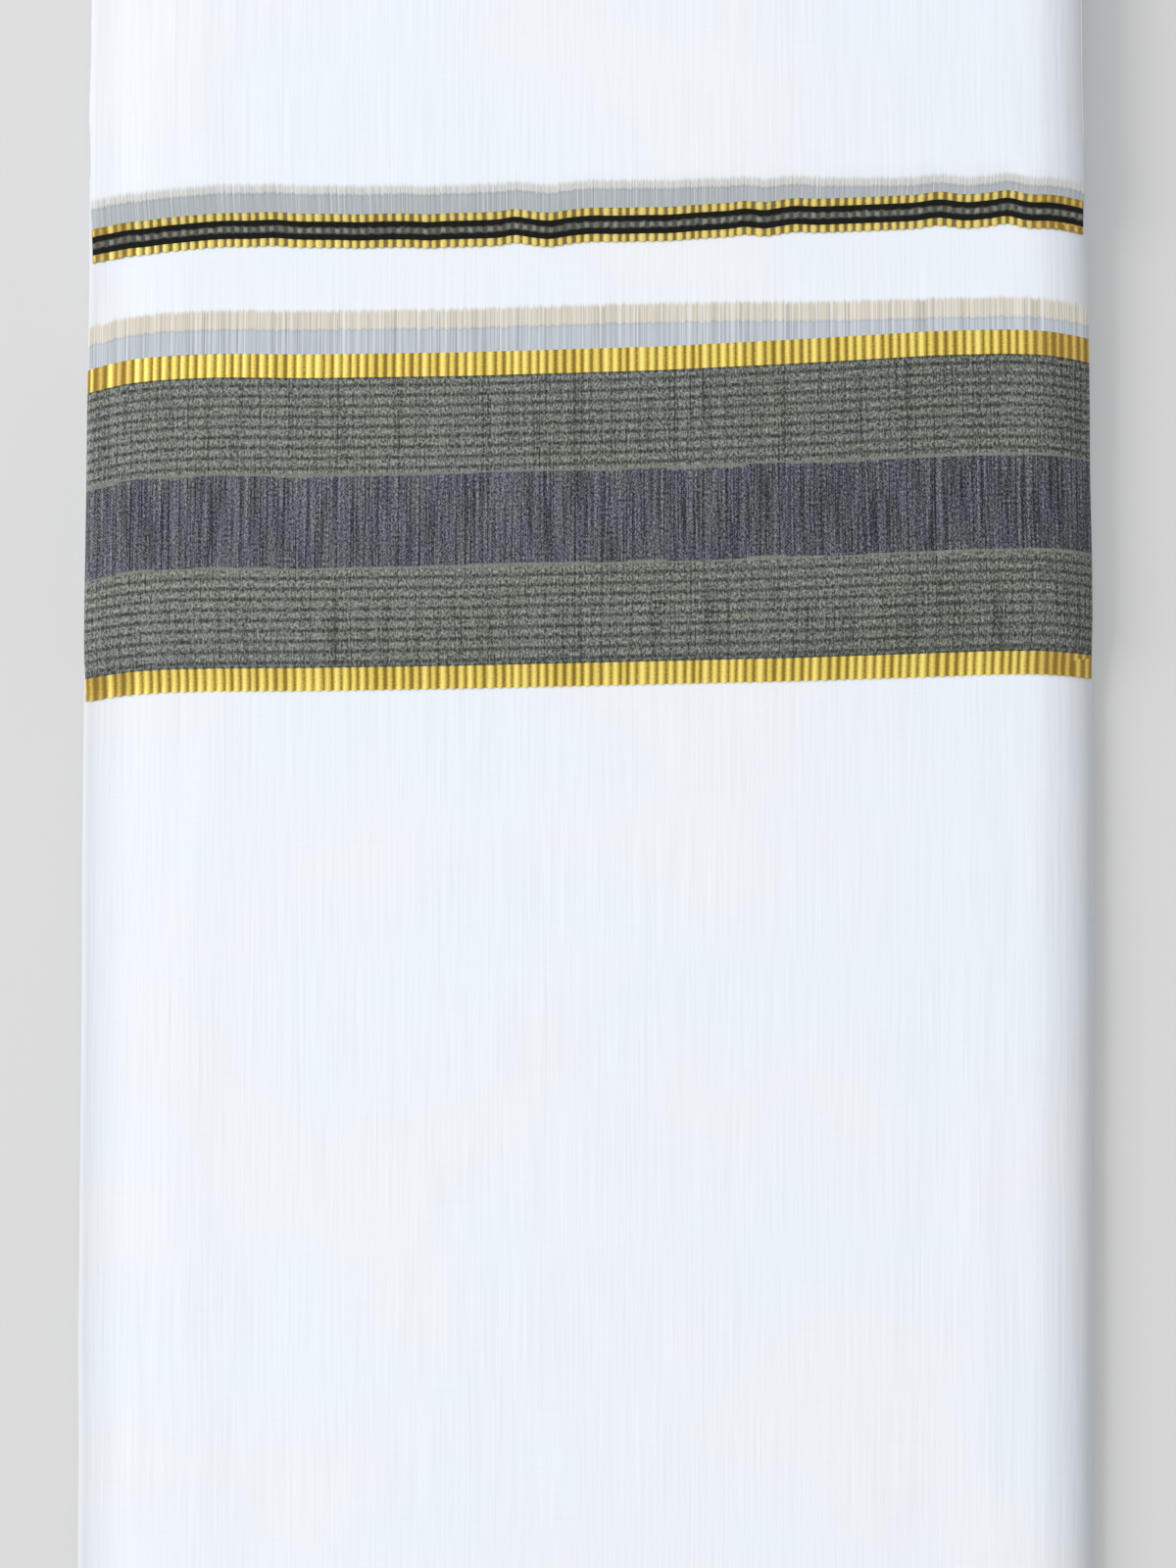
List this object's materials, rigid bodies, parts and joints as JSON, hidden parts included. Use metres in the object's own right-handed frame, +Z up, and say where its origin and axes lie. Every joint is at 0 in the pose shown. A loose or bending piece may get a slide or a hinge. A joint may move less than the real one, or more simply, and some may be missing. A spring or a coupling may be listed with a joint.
{
  "type": "folded dhoti cloth",
  "caption": "White cotton dhoti folded flat into a long layered strip, with two woven borders of dark stripe, grey check and ribbed gold zari shown at the front.",
  "frame": {"origin": "middle of the underside, on the surface that the folded cloth lies on", "axes": "+X across the strip to the right, +Y along the strip towards the top fold, +Z up from the surface"},
  "size_m": [0.2354, 0.476, 0.0164],
  "materials": {
    "white_cotton": "fine bleached plain-weave cotton, matte with a faint cool cast and thin see-through spots over the borders of the layer below",
    "gold_zari": "ribbed metallic gold thread, bright ribs with dark furrows between them",
    "black_stripe": "matte black cotton lines either side of a beaded olive-grey line",
    "grey_check": "matte grey-green cotton with fine dark dashed lines across and irregular dark threads along",
    "slate_melange": "matte slate-blue and grey mixed yarns in fine vertical streaks"
  },
  "bodies": {
    "root": {"front_body": "white_cotton", "under_flap": "white_cotton", "front_flap": "white_cotton", "top_fold": "white_cotton", "bottom_fold": "white_cotton", "back_panel": "white_cotton", "hidden_layers": "white_cotton", "narrow_border_lower_zari": "gold_zari", "narrow_border_stripe": "black_stripe", "narrow_border_upper_zari": "gold_zari", "wide_border_lower_zari": "gold_zari", "wide_border_lower_check": "grey_check", "wide_border_centre": "slate_melange", "wide_border_upper_check": "grey_check", "wide_border_upper_zari": "gold_zari"}
  },
  "joints": []
}
